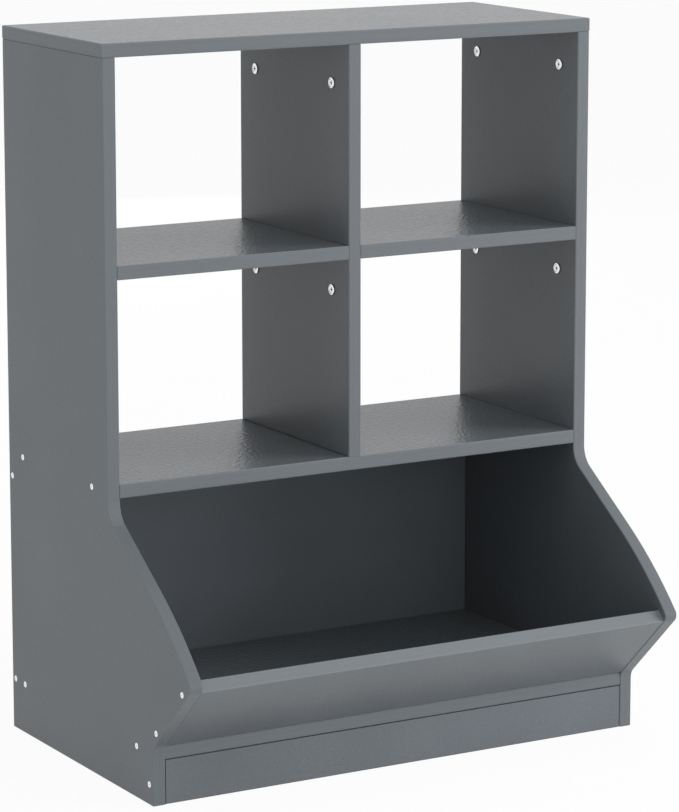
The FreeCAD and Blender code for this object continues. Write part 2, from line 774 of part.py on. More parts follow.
def make_dowels():
    dowel = make_dowel("dowel_pattern", -dowel_in_face, dowel_in_edge)
    through_end = board / 2 + dowel_in_edge
    through_dowel = make_dowel("through_dowel_pattern", -through_end, through_end)
    return [
        group("top_panel_dowels", [
            (dowel, AGAINST_Z, x, y, side_height) for x in uprights for y in dowel_rows]),
        group("shelf_dowels", [
            (dowel, turn, x, y, mid_shelf_middle)
            for x, turn in ((-half_inner, ALONG_X), (half_inner, AGAINST_X))
            for y in fixing_rows]),
        group("shelf_through_dowels", [
            (through_dowel, ALONG_X, ZERO, y, mid_shelf_middle) for y in fixing_rows]),
        group("divider_foot_dowels", [
            (dowel, ALONG_Z, ZERO, y, lower_shelf_height) for y in fixing_rows]),
        group("toe_kick_dowels", [
            (dowel, AGAINST_Z, x, toe_middle, toe_kick_height) for x in toe_dowel_sides]),
    ]


def make_screws():
    screw = make_screw()
    return [
        screws_both_sides("lower_shelf_screws", screw, lower_shelf_screw_places),
        screws_both_sides("bin_back_screws", screw, back_screw_places),
        screws_both_sides("bin_floor_screws", screw, floor_screw_places),
        screws_both_sides("bin_front_screws", screw, front_screw_places),
        screws_both_sides("toe_kick_screws", screw, toe_screw_places),
    ]


# ---------------------------------------------------------------------------------------
# The whole unit
# ---------------------------------------------------------------------------------------

def make_boards():
    shelf_x = board / 2 + shelf_width / 2
    return [
        make_top_panel(),
        make_side_panel("side_panel_left", left=True),
        make_side_panel("side_panel_right", left=False),
        make_divider(),
        make_mid_shelf("mid_shelf_left", -shelf_x),
        make_mid_shelf("mid_shelf_right", shelf_x),
        make_lower_shelf(),
        make_bin_back(),
        make_bin_floor(),
        make_bin_front(),
        make_toe_kick(),
    ]


def check(nodes):
    """Stops with a message if an object failed or a node's shape is unsound."""
    for item in DOCUMENT.Objects:
        if "Invalid" in item.State or "Error" in item.State:
            raise RuntimeError(f"{item.Label} failed: {item.State}")
    for node in nodes:
        if node.Shape.isNull() or not node.Shape.isValid():
            raise RuntimeError(f"{node.Label} has no sound shape")
        expected = len(node.Links) if node.TypeId == "Part::Compound" else 1
        if len(node.Shape.Solids) != expected:
            raise RuntimeError(f"{node.Label} has {len(node.Shape.Solids)} solids")


def write(nodes):
    os.makedirs("parts", exist_ok=True)
    for node in nodes:
        node.Shape.exportStep(f"parts/{node.Label}.step")
        box = node.Shape.BoundBox
        print(f"{node.Label:22s} {len(node.Shape.Solids):2d} solids"
              f"  X {box.XMin:8.2f} {box.XMax:8.2f}  Y {box.YMin:8.2f} {box.YMax:8.2f}"
              f"  Z {box.ZMin:8.2f} {box.ZMax:8.2f}")


def main():
    DOCUMENT.recompute()
    nodes = make_boards() + make_cam_locks() + make_cam_bolts() + make_dowels() + make_screws()
    DOCUMENT.recompute()
    check(nodes)
    write(nodes)


main()
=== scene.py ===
"""A toy storage organizer in charcoal laminated board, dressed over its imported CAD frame.

The boards are the frame's own nodes in procedural melamine. The screws and the cam locks,
which the frame holds in a plainer form, are replaced by finer pieces in the same places.
"""

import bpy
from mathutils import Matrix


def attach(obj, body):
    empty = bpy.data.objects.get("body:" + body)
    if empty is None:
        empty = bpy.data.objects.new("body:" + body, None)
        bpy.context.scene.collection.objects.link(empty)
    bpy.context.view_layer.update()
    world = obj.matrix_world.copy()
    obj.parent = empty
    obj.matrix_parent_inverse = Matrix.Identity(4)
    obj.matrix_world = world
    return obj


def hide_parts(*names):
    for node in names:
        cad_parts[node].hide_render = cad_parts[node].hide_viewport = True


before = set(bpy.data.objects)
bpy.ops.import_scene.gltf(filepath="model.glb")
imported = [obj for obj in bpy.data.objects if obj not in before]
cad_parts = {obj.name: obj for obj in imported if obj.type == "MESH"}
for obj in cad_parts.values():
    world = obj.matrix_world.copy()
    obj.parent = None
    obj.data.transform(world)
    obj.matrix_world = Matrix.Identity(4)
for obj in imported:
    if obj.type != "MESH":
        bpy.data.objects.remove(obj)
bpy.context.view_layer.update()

import logging
import math
from dataclasses import dataclass, field
from enum import Enum
from typing import Any, Iterable, Sequence

import bmesh
import bpy
from mathutils import Matrix, Vector

Socket = Any
Axis = tuple[float, float, float]
Colour = tuple[float, float, float, float]

LOG = logging.getLogger("organizer")
MM = 0.001
ROOT = "root"
X_AXIS: Axis = (1.0, 0.0, 0.0)
Y_AXIS: Axis = (0.0, 1.0, 0.0)
Z_AXIS: Axis = (0.0, 0.0, 1.0)
# Square to the bin front, which slants 43.3 degrees above level.
BIN_FRONT_AXIS: Axis = (0.0, 0.6858, 0.7278)
WHITE: Colour = (1.0, 1.0, 1.0, 1.0)
# Edges that turn less than this are shaded smooth.
SMOOTH_BELOW = math.radians(40.0)
# Vertices of a frame node that are nearer to each other than this are one.
MERGE_DISTANCE = 0.01 * MM


def mm(*lengths: float) -> tuple[float, ...]:
    """Lengths in millimetres as metres."""
    return tuple(length * MM for length in lengths)


def colour(code: str) -> Colour:
    """Turns an sRGB hex colour into the linear colour that a shader takes.

    Args:
        code: six hex digits, with or without the leading hash.

    Returns:
        Linear red, green and blue, and an alpha of one.
    """
    code = code.lstrip("#")
    parts = (int(code[i:i + 2], 16) / 255 for i in (0, 2, 4))
    linear = [c / 12.92 if c <= 0.04045 else ((c + 0.055) / 1.055) ** 2.4 for c in parts]
    return (linear[0], linear[1], linear[2], 1.0)


# -------------------------------------------------------------------------------------
# Materials
# -------------------------------------------------------------------------------------

def add_node(tree: bpy.types.NodeTree, kind: str, links: dict[Any, Socket] | None = None,
             stops: Sequence[tuple[float, Colour]] = (),
             **settings: Any) -> bpy.types.Node:
    """Adds a node with its settings and its incoming links.

    Args:
        tree: the node tree that the node joins.
        kind: the node's type name, such as ShaderNodeMath.
        links: output sockets by the name or number of the input that each one feeds.
        stops: a colour ramp's positions from 0 to 1, in order, with their colours.
        settings: node properties, set in the order given; a key with a leading "in_" and
            a number or name sets that input's own value instead, with underscores read
            as spaces.

    Returns:
        The new node.
    """
    node = tree.nodes.new(kind)
    for key, value in settings.items():
        if key.startswith("in_"):
            name = key.removeprefix("in_")
            place = int(name) if name.isdigit() else name.replace("_", " ")
            node.inputs[place].default_value = value
        else:
            setattr(node, key, value)
    if stops:
        elements = node.color_ramp.elements
        while len(elements) < len(stops):
            elements.new(0.5)
        for element, (position, tone) in zip(elements, stops):
            element.position = position
            element.color = tone
    for place, source in (links or {}).items():
        tree.links.new(source, node.inputs[place])
    return node


def bare_tree(owner: bpy.types.Material | bpy.types.World) -> bpy.types.NodeTree:
    """Gives a material or world shader nodes, with none in place yet.

    Args:
        owner: the material or world.

    Returns:
        Its empty node tree.
    """
    owner.use_nodes = True
    owner.node_tree.nodes.clear()
    return owner.node_tree


def new_material(
        name: str) -> tuple[bpy.types.Material, bpy.types.NodeTree, bpy.types.Node]:
    """A named material with a surface shader that nothing is set on yet.

    Args:
        name: the material's name.

    Returns:
        The material, its node tree and its Principled shader.
    """
    material = bpy.data.materials.new(name)
    tree = bare_tree(material)
    shader = add_node(tree, "ShaderNodeBsdfPrincipled")
    add_node(tree, "ShaderNodeOutputMaterial", {"Surface": shader.outputs["BSDF"]})
    return material, tree, shader


def squareness(tree: bpy.types.NodeTree, axis: Axis) -> Socket:
    """How squarely the surface faces along an axis: one straight on, zero edge on.

    Args:
        tree: the material's node tree.
        axis: the axis, of length one.

    Returns:
        The output that gives it.
    """
    normal = add_node(tree, "ShaderNodeNewGeometry").outputs["True Normal"]
    along = add_node(tree, "ShaderNodeVectorMath", {0: normal},
                     operation="DOT_PRODUCT", in_1=axis)
    return add_node(tree, "ShaderNodeMath", {0: along.outputs["Value"]},
                    operation="ABSOLUTE").outputs[0]


@dataclass(frozen=True)
class Melamine:
    """Particle board faced with printed melamine and edged with ABS banding.

    The faces are pressed against a steel plate with a fine pearl grain. Seen squarely they
    are an even charcoal, and towards a grazing view the grain sparkles as a fine fleck. The
    banding is extruded plastic of the same colour with faint lines along it. The trimmed
    arris between the two is painted a shade lighter, as a painted highlight, or painted
    dark where it lies in a joint, as the joint's painted shade. The pearl grain is a few
    tenths of a millimetre on the real board, too fine to show in the render, so it is drawn
    as coarse as it needs to show.
    """

    name: str
    thickness_axis: Axis
    face: str = "#5D6266"
    face_dark: str = "#575C60"
    face_light: str = "#63686C"
    edge: str = "#62676B"
    edge_dark: str = "#5D6266"
    # Painted light: the arris is painted lighter than the banding as a painted highlight,
    # and boards whose arrises lie in joints set it dark as painted shade.
    arris: str = "#6D7276"
    fleck_mm: float = 1.4
    fleck_roughness: float = 0.7
    face_stops: tuple[float, float, float] = (0.36, 0.5, 0.64)
    edge_stops: tuple[float, float] = (0.3, 0.6)
    pearl_mm: float = 2.4
    pearl_height_mm: float = 0.22
    cloud_mm: float = 160.0
    cloud_share: float = 0.35
    ior: float = 1.36
    roughness: float = 0.32
    roughness_spread: float = 0.08
    face_bump: float = 0.8
    banding_bump: float = 0.1
    # By squareness to the board, where the arris starts and where the face does.
    arris_from: float = 0.3
    face_from: float = 0.9

    def material(self) -> bpy.types.Material:
        """Builds the material. Its patterns read the board's own coordinates in metres.

        Returns:
            The material.
        """
        material, tree, shader = new_material(self.name)
        place = add_node(tree, "ShaderNodeTexCoord").outputs["Object"]
        squarely = squareness(tree, self.thickness_axis)
        on_face = add_node(tree, "ShaderNodeMath", {0: squarely},
                           operation="GREATER_THAN", in_1=self.face_from).outputs[0]
        tree.links.new(self.tone(tree, place, squarely, on_face),
                       shader.inputs["Base Color"])
        shader.inputs["IOR"].default_value = self.ior

        pearl = add_node(tree, "ShaderNodeTexNoise", {"Vector": place},
                         in_Scale=1 / (self.pearl_mm * MM), in_Detail=2.0)
        gloss = add_node(tree, "ShaderNodeMapRange", {"Value": pearl.outputs["Fac"]},
                         in_To_Min=self.roughness - self.roughness_spread,
                         in_To_Max=self.roughness + self.roughness_spread)
        tree.links.new(gloss.outputs["Result"], shader.inputs["Roughness"])
        strength = add_node(tree, "ShaderNodeMapRange", {"Value": on_face},
                            in_To_Min=self.banding_bump, in_To_Max=self.face_bump)
        bump = add_node(tree, "ShaderNodeBump", {
            "Height": pearl.outputs["Fac"], "Strength": strength.outputs["Result"]},
            in_Distance=self.pearl_height_mm * MM)
        tree.links.new(bump.outputs["Normal"], shader.inputs["Normal"])
        return material

    def tone(self, tree: bpy.types.NodeTree, place: Socket, squarely: Socket,
             on_face: Socket) -> Socket:
        """The colour: face, arris or banding by how the surface lies in the board.

        Args:
            tree: the material's node tree.
            place: the board's own coordinates.
            squarely: one on a face, zero on an edge, and between them on an arris.
            on_face: one on a face, and zero elsewhere.

        Returns:
            The colour output.
        """
        past_edge = add_node(tree, "ShaderNodeMath", {0: squarely},
                             operation="GREATER_THAN", in_1=self.arris_from).outputs[0]
        # The arris takes its painted colour here: a painted highlight on most boards, and a
        # joint's painted shade on the rails.
        trimmed = add_node(tree, "ShaderNodeMix", {
            "Factor": past_edge, "A": self.banding(tree, place)},
            data_type="RGBA", in_B=colour(self.arris))
        whole = add_node(tree, "ShaderNodeMix", {
            "Factor": on_face, "A": trimmed.outputs["Result"],
            "B": self.print_fleck(tree, place)}, data_type="RGBA")
        return whole.outputs["Result"]

    def print_fleck(self, tree: bpy.types.NodeTree, place: Socket) -> Socket:
        """The printed face: a fine fleck over slow clouds.

        Args:
            tree: the material's node tree.
            place: the board's own coordinates.

        Returns:
            The colour output.
        """
        cloud = add_node(tree, "ShaderNodeTexNoise", {"Vector": place},
                         in_Scale=1 / (self.cloud_mm * MM), in_Detail=2.0)
        fleck = add_node(tree, "ShaderNodeTexNoise", {"Vector": place},
                         in_Scale=1 / (self.fleck_mm * MM), in_Detail=3.0,
                         in_Roughness=self.fleck_roughness)
        both = add_node(tree, "ShaderNodeMix", {
            "A": fleck.outputs["Fac"], "B": cloud.outputs["Fac"]},
            data_type="FLOAT", in_Factor=self.cloud_share)
        tones = (self.face_dark, self.face, self.face_light)
        return add_node(tree, "ShaderNodeValToRGB", {"Fac": both.outputs["Result"]},
                        stops=list(zip(self.face_stops, map(colour, tones)))
                        ).outputs["Color"]

    def banding(self, tree: bpy.types.NodeTree, place: Socket) -> Socket:
        """The extruded banding: faint lines along it, by depth in the board's thickness.

        Args:
            tree: the material's node tree.
            place: the board's own coordinates.

        Returns:
            The colour output.
        """
        depth = add_node(tree, "ShaderNodeVectorMath", {0: place},
                         operation="DOT_PRODUCT", in_1=self.thickness_axis)
        lines = add_node(tree, "ShaderNodeTexNoise", {"W": depth.outputs["Value"]},
                         noise_dimensions="1D", in_Scale=1 / (self.fleck_mm * MM),
                         in_Detail=2.0)
        tones = (self.edge_dark, self.edge)
        return add_node(tree, "ShaderNodeValToRGB", {"Fac": lines.outputs["Fac"]},
                        stops=list(zip(self.edge_stops, map(colour, tones)))
                        ).outputs["Color"]


@dataclass(frozen=True)
class Zinc:
    """Bright zinc, cast for the cams and plated on the screws and bolts.

    A pale metal, smooth enough to catch the white of the room, with a fine grain in its
    gloss and faint tarnish in patches. The grain is far finer on the real metal, and is
    drawn as coarse as it needs to show. A casting's flanks are painted dark, as painted
    shade, and only its face, square to X, keeps the bright tone. With no painted flank
    shade given, it is bright all over.
    """

    name: str
    tone: str = "#F2F3F4"
    tarnish: str = "#D5D7D9"
    flank: str = ""
    tarnish_stops: tuple[float, float] = (0.3, 0.5)
    grain_mm: float = 0.6
    grain_height_mm: float = 0.02
    grain_bump: float = 0.2
    roughness: float = 0.22
    rougher_by: float = 0.08
    smoother_by: float = 0.04
    face_from: float = 0.5

    def material(self) -> bpy.types.Material:
        """Builds the material. Its grain reads the piece's own coordinates in metres.

        Returns:
            The material.
        """
        material, tree, shader = new_material(self.name)
        place = add_node(tree, "ShaderNodeTexCoord").outputs["Object"]
        grain = add_node(tree, "ShaderNodeTexNoise", {"Vector": place},
                         in_Scale=1 / (self.grain_mm * MM), in_Detail=3.0)
        tones = (self.tarnish, self.tone)
        tone = add_node(tree, "ShaderNodeValToRGB", {"Fac": grain.outputs["Fac"]},
                        stops=list(zip(self.tarnish_stops, map(colour, tones)))
                        ).outputs["Color"]
        # Painted shade on the flanks.
        if self.flank:
            tone = self.paint_flank_shade(tree, tone)
        tree.links.new(tone, shader.inputs["Base Color"])
        gloss = add_node(tree, "ShaderNodeMapRange", {"Value": grain.outputs["Fac"]},
                         in_To_Min=self.roughness + self.rougher_by,
                         in_To_Max=self.roughness - self.smoother_by)
        tree.links.new(gloss.outputs["Result"], shader.inputs["Roughness"])
        shader.inputs["Metallic"].default_value = 1.0
        bump = add_node(tree, "ShaderNodeBump", {"Height": grain.outputs["Fac"]},
                        in_Strength=self.grain_bump,
                        in_Distance=self.grain_height_mm * MM)
        tree.links.new(bump.outputs["Normal"], shader.inputs["Normal"])
        return material

    def paint_flank_shade(self, tree: bpy.types.NodeTree, tone: Socket) -> Socket:
        """Keeps the tone on the face, square to X, and paints shade on the flanks.

        Args:
            tree: the material's node tree.
            tone: the colour of the face.

        Returns:
            The colour output.
        """
        on_face = add_node(tree, "ShaderNodeMath", {0: squareness(tree, X_AXIS)},
                           operation="GREATER_THAN", in_1=self.face_from).outputs[0]
        return add_node(tree, "ShaderNodeMix", {"Factor": on_face, "B": tone},
                        data_type="RGBA", in_A=colour(self.flank)).outputs["Result"]


@dataclass(frozen=True)
class Beech:
    """Turned beech, bare: pale pinkish wood with short brown flecks along the grain."""

    name: str
    pale: str = "#D2B48C"
    brown: str = "#A8845A"
    fleck_mm: float = 0.8
    fleck_stops: tuple[float, float] = (0.35, 0.6)
    distortion: float = 0.6
    roughness: float = 0.65

    def material(self) -> bpy.types.Material:
        """Builds the material. Its grain reads the dowel's own coordinates in metres.

        Returns:
            The material.
        """
        material, tree, shader = new_material(self.name)
        place = add_node(tree, "ShaderNodeTexCoord").outputs["Object"]
        grain = add_node(tree, "ShaderNodeTexNoise", {"Vector": place},
                         in_Scale=1 / (self.fleck_mm * MM), in_Detail=4.0,
                         in_Distortion=self.distortion)
        tones = (self.brown, self.pale)
        tone = add_node(tree, "ShaderNodeValToRGB", {"Fac": grain.outputs["Fac"]},
                        stops=list(zip(self.fleck_stops, map(colour, tones))))
        tree.links.new(tone.outputs["Color"], shader.inputs["Base Color"])
        shader.inputs["Roughness"].default_value = self.roughness
        return material


# -------------------------------------------------------------------------------------
# Meshes
# -------------------------------------------------------------------------------------

def mesh_of(name: str, shape: bmesh.types.BMesh) -> bpy.types.Mesh:
    """Turns a bmesh into a mesh, and frees the bmesh.

    Args:
        name: the mesh's name.
        shape: the bmesh.

    Returns:
        The mesh.
    """
    mesh = bpy.data.meshes.new(name)
    shape.to_mesh(mesh)
    shape.free()
    return mesh


def add_object(name: str, data: bpy.types.ID) -> bpy.types.Object:
    """Adds an object to the scene.

    Args:
        name: the object's name.
        data: its mesh, lamp or camera.

    Returns:
        The new object.
    """
    thing = bpy.data.objects.new(name, data)
    bpy.context.scene.collection.objects.link(thing)
    return thing


def new_piece(name: str, shape: bmesh.types.BMesh, material: bpy.types.Material,
              slot: str) -> bpy.types.Object:
    """Makes an object of a bmesh, at the origin, riding on the unit's one body.

    Args:
        name: the piece's name.
        shape: its mesh in metres, in the frame's own coordinates. It is freed.
        material: its finish.
        slot: the record's material slot; not used.

    Returns:
        The finished piece.
    """
    bmesh.ops.recalc_face_normals(shape, faces=shape.faces)
    for face in shape.faces:
        face.smooth = True
    for edge in shape.edges:
        edge.smooth = edge.calc_face_angle(math.pi) < SMOOTH_BELOW
    mesh = mesh_of(name, shape)
    mesh.materials.append(material)
    piece = add_object(name, mesh)
    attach(piece, ROOT)
    return piece


def solids_of(node: str) -> list[tuple[Vector, Vector]]:
    """The boxes of a frame node's separate solids, as lowest and highest corners.

    Args:
        node: the frame node's name.

    Returns:
        One pair of corners for each connected solid.
    """
    shape = bmesh.new()
    shape.from_mesh(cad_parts[node].data)
    bmesh.ops.remove_doubles(shape, verts=shape.verts, dist=MERGE_DISTANCE)
    boxes, seen = [], set()
    for start in shape.verts:
        if start in seen:
            continue
        group, waiting = [], [start]
        seen.add(start)
        while waiting:
            vertex = waiting.pop()
            group.append(vertex.co)
            for edge in vertex.link_edges:
                other = edge.other_vert(vertex)
                if other not in seen:
                    seen.add(other)
                    waiting.append(other)
        low = Vector(min(co[i] for co in group) for i in range(3))
        high = Vector(max(co[i] for co in group) for i in range(3))
        boxes.append((low, high))
    shape.free()
    return boxes


def verts_of(made: dict[str, Any]) -> list[bmesh.types.BMVert]:
    """The vertices in what a bmesh operator made."""
    return [item for item in made["geom"] if isinstance(item, bmesh.types.BMVert)]


def crossed_disc(radius: float, level: float, arm: float, tip: float, depth: float,
                 segments: int) -> tuple[bmesh.types.BMesh, list[bmesh.types.BMEdge]]:
    """A flat disc about Z with a cross recess sunk in it.

    Args:
        radius: the disc's radius. Every length is in millimetres.
        level: the disc's height.
        arm: half the width of the cross's arms.
        tip: from the middle to the end of an arm.
        depth: depth of the recess.
        segments: steps round the rim.

    Returns:
        The open mesh and the edges of its rim.
    """
    shape = bmesh.new()
    bmesh.ops.create_circle(shape, cap_ends=False, segments=segments, radius=radius * MM)
    rim = list(shape.edges)
    quarters = [Matrix.Rotation(turns * math.pi / 2, 3, "Z") for turns in range(4)]
    corners = [shape.verts.new(quarter @ Vector(mm(x, y, 0))) for quarter in quarters
               for x, y in ((arm, -tip), (arm, -arm), (tip, -arm))]
    cross = [shape.edges.new(pair) for pair in zip(corners, corners[1:] + corners[:1])]
    bmesh.ops.bridge_loops(shape, edges=rim + cross)
    floor = verts_of(bmesh.ops.extrude_edge_only(shape, edges=cross))
    bmesh.ops.translate(shape, vec=(0, 0, -depth * MM), verts=floor)
    bmesh.ops.contextual_create(
        shape, geom=[edge for edge in shape.edges if set(edge.verts) <= set(floor)])
    bmesh.ops.translate(shape, vec=(0, 0, level * MM), verts=shape.verts)
    return shape, rim


def turn_down(shape: bmesh.types.BMesh, rim: list[bmesh.types.BMEdge], radius: float,
              level: float, profile: Sequence[tuple[float, float]]) -> None:
    """Carries a round rim about Z on through a profile and closes it at the end.

    Args:
        shape: the mesh.
        rim: the rim's edges.
        radius: the rim's radius now. Every length is in millimetres.
        level: the rim's height now.
        profile: the radius and height of each next ring.
    """
    for next_radius, next_level in profile:
        verts = verts_of(bmesh.ops.extrude_edge_only(shape, edges=rim))
        factor = next_radius / radius
        bmesh.ops.scale(shape, vec=(factor, factor, 1), verts=verts)
        bmesh.ops.translate(shape, vec=(0, 0, (next_level - level) * MM), verts=verts)
        ring = set(verts)
        rim = [edge for edge in shape.edges if set(edge.verts) <= ring]
        radius, level = next_radius, next_level
    bmesh.ops.contextual_create(shape, geom=rim)
    bmesh.ops.recalc_face_normals(shape, faces=shape.faces)


def carve(shape: bmesh.types.BMesh, cutter: bmesh.types.BMesh) -> bmesh.types.BMesh:
    """Cuts one closed mesh out of another. Both are freed.

    Args:
        shape: the mesh that is cut.
        cutter: what is taken away.

    Returns:
        The mesh that is left.
    """
    holders = [add_object("carving", mesh_of("carving", part)) for part in (shape, cutter)]
    cut = holders[0].modifiers.new("cut", "BOOLEAN")
    cut.operation = "DIFFERENCE"
    cut.object = holders[1]
    cut.solver = "EXACT"
    left = bmesh.new()
    left.from_object(holders[0], bpy.context.evaluated_depsgraph_get())
    for holder in holders:
        mesh = holder.data
        bpy.data.objects.remove(holder)
        bpy.data.meshes.remove(mesh)
    return left


# -------------------------------------------------------------------------------------
# Fixings
# -------------------------------------------------------------------------------------

class Facing(Enum):
    """The way a fixing's face looks, as a turn from +Z that takes +X upwards."""

    LEFT = Matrix.Rotation(-math.pi / 2, 4, "Y")
    RIGHT = Matrix.Rotation(math.pi / 2, 4, "Y") @ Matrix.Rotation(math.pi, 4, "Z")


@dataclass
class Fixings:
    """One kind of fixing that shows, repeated where the frame's nodes have it.

    Each node is given with the way that its fixings look, on the left of the unit's middle
    and on the right. The first fixing of a node stands as drawn, and each next one is
    turned about its own axis by turn degrees more.
    """

    finish: Zinc
    slot: str
    nodes: dict[str, tuple[Facing, Facing]]
    turn: float = 0.0

    def pattern(self) -> bmesh.types.BMesh:
        """The fixing's mesh, with its face at the origin and looking along +Z."""
        raise NotImplementedError

    def place(self, low: Vector, high: Vector, facing: Facing, number: int) -> Matrix:
        """Where the pattern goes for one solid of a node.

        Args:
            low: lowest corner of the solid's box.
            high: highest corner of the solid's box.
            facing: the way the fixing looks.
            number: which of the node's fixings it is, for its own turn about its axis.

        Returns:
            The pattern's place in the frame.
        """
        middle = (low + high) / 2
        middle.x = low.x if facing is Facing.LEFT else high.x
        own_turn = Matrix.Rotation(math.radians(self.turn * number), 4, "Z")
        return Matrix.Translation(middle) @ facing.value @ own_turn

    def build(self) -> Iterable[bpy.types.Object]:
        """Builds one piece for each of the frame's nodes, which it replaces.

        Returns:
            The pieces, each as it is built.
        """
        material = self.finish.material()
        pattern = mesh_of("pattern", self.pattern())
        for node, facings in self.nodes.items():
            whole = bmesh.new()
            for number, (low, high) in enumerate(solids_of(node)):
                facing = facings[0] if low.x + high.x < 0 else facings[1]
                before = set(whole.verts)
                whole.from_mesh(pattern)
                added = [vertex for vertex in whole.verts if vertex not in before]
                bmesh.ops.transform(whole, matrix=self.place(low, high, facing, number),
                                    verts=added)
            piece = new_piece(f"{node}_detailed", whole, material, self.slot)
            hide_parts(node)
            yield piece
        bpy.data.meshes.remove(pattern)


@dataclass
class ScrewHeads(Fixings):
    """Flat cross-slotted heads, flush with the side panels' faces, on turned shanks.

    Lengths are in millimetres. No two neighbours were driven to the same turn.
    """

    turn: float = 37.0
    radius: float = 3.5
    height: float = 2.5
    chamfer: float = 0.25
    arm: float = 0.28
    tip: float = 1.3
    recess: float = 0.7
    shank_radius: float = 2.3
    length: float = 50.0
    point_radius: float = 0.6
    point_length: float = 4.0
    segments: int = 36

    def pattern(self) -> bmesh.types.BMesh:
        """Head, shank and point about Z, from the head's face down.

        Returns:
            The closed mesh.
        """
        face = self.radius - self.chamfer
        shape, rim = crossed_disc(face, 0, self.arm, self.tip, self.recess, self.segments)
        turn_down(shape, rim, face, 0, [
            (self.radius, -self.chamfer), (self.radius, -self.height),
            (self.shank_radius, -self.height),
            (self.shank_radius, self.point_length - self.length),
            (self.point_radius, -self.length)])
        return shape


@dataclass
class CamLocks(Fixings):
    """Die-cast cam locks: a raised rim, a dished face with a cross, a mouth for the bolt.

    Lengths are in millimetres. The photograph shows the rim a little proud of the board,
    with its flank dark on the near side, while the frame's own face lies just under the
    board's, so the cam rises past it.
    """

    radius: float = 6.0
    height: float = 10.5
    rise: float = 1.8
    chamfer: float = 0.25
    rim_inner: float = 4.7
    dish_radius: float = 4.3
    dish: float = 0.4
    arm: float = 0.7
    tip: float = 2.6
    recess: float = 1.1
    bolt_depth: float = 6.7
    half_mouth: float = 2.6
    segments: int = 48

    def pattern(self) -> bmesh.types.BMesh:
        """The cam about Z, its rim over the origin's level and its mouth towards +X.

        Returns:
            The closed mesh.
        """
        low = self.rise - self.dish
        shape, rim = crossed_disc(self.dish_radius, low, self.arm, self.tip,
                                  self.recess, self.segments)
        turn_down(shape, rim, self.dish_radius, low, [
            (self.rim_inner, self.rise), (self.radius - self.chamfer, self.rise),
            (self.radius, self.rise - self.chamfer), (self.radius, -self.height)])
        mouth = bmesh.new()
        bmesh.ops.create_cube(mouth, size=1)
        bmesh.ops.scale(mouth, vec=mm(2 * self.radius, 2 * self.half_mouth,
                                      2 * self.half_mouth), verts=mouth.verts)
        bmesh.ops.translate(mouth, vec=mm(self.radius, 0, -self.bolt_depth),
                            verts=mouth.verts)
        return carve(shape, mouth)


# -------------------------------------------------------------------------------------
# Boards and hidden joinery
# -------------------------------------------------------------------------------------

@dataclass
class Carcass:
    """The boards and the hidden joinery: frame nodes that stay and take a finish."""

    boards: dict[Melamine, tuple[str, ...]] = field(default_factory=lambda: {
        Melamine("melamine_board_uprights", X_AXIS):
            ("side_panel_left", "side_panel_right", "centre_divider"),
        # Seen at a grazing angle, the shelves show the grain most, so it is coarser here.
        Melamine("melamine_board_shelves", Z_AXIS, pearl_mm=4.8, pearl_height_mm=1.2,
                 ior=1.4):
            ("top_panel", "mid_shelf_left", "mid_shelf_right", "lower_shelf", "bin_floor"),
        # Every arris of these two that shows lies in a joint, and is painted dark as the
        # joint's painted shade. Their faces are painted a shade lighter than the other
        # boards', as painted light.
        Melamine("melamine_board_rails", Y_AXIS, face="#60656A", face_dark="#5A5F64",
                 face_light="#666B70", arris="#2E3134"):
            ("bin_back_panel", "toe_kick"),
        # The bin front's banding and arris are painted lighter, as the photograph shows, a
        # painted highlight of the light from above on its up-facing edge.
        Melamine("melamine_board_bin_front", BIN_FRONT_AXIS, edge="#6F7478",
                 edge_dark="#6A6F73", arris="#73787C"):
            ("bin_front_panel",),
    })
    bolts: tuple[str, ...] = ("side_cam_bolts", "divider_cam_bolts")
    dowels: tuple[str, ...] = ("top_panel_dowels", "shelf_dowels", "shelf_through_dowels",
                               "divider_foot_dowels", "toe_kick_dowels")

    def dress(self) -> Iterable[str]:
        """Gives every kept node its finish.

        Returns:
            The nodes' names, each as it is dressed.
        """
        for finish, nodes in self.boards.items():
            yield from self.paint(nodes, finish.material())
        yield from self.paint(self.bolts, Zinc("zinc_plated_steel_bolts").material())
        yield from self.paint(self.dowels, Beech("turned_beech").material())

    @staticmethod
    def paint(nodes: Iterable[str], material: bpy.types.Material) -> Iterable[str]:
        """Puts a material in every slot of the nodes' meshes.

        Args:
            nodes: the frame nodes' names.
            material: the material.

        Returns:
            The nodes' names, each as it is dressed.
        """
        for node in nodes:
            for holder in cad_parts[node].material_slots:
                holder.material = material
            yield node


# -------------------------------------------------------------------------------------
# Studio
# -------------------------------------------------------------------------------------

@dataclass(frozen=True)
class Softbox:
    """A large soft lamp that looks at a point. Gloss shows the white room in its place."""

    name: str
    at: tuple[float, float, float]
    power: float
    towards: tuple[float, float, float] = (0.0, 0.0, 0.4)
    size: tuple[float, float] = (2.0, 2.0)

    def place(self) -> bpy.types.Object:
        """Adds the lamp to the scene.

        Returns:
            The lamp.
        """
        data = bpy.data.lights.new(self.name, "AREA")
        data.shape = "RECTANGLE"
        data.size, data.size_y = self.size
        data.energy = self.power
        lamp = add_object(self.name, data)
        lamp.visible_glossy = False
        lamp.location = self.at
        aim = Vector(self.towards) - Vector(self.at)
        lamp.rotation_euler = aim.to_track_quat("-Z", "Y").to_euler()
        return lamp


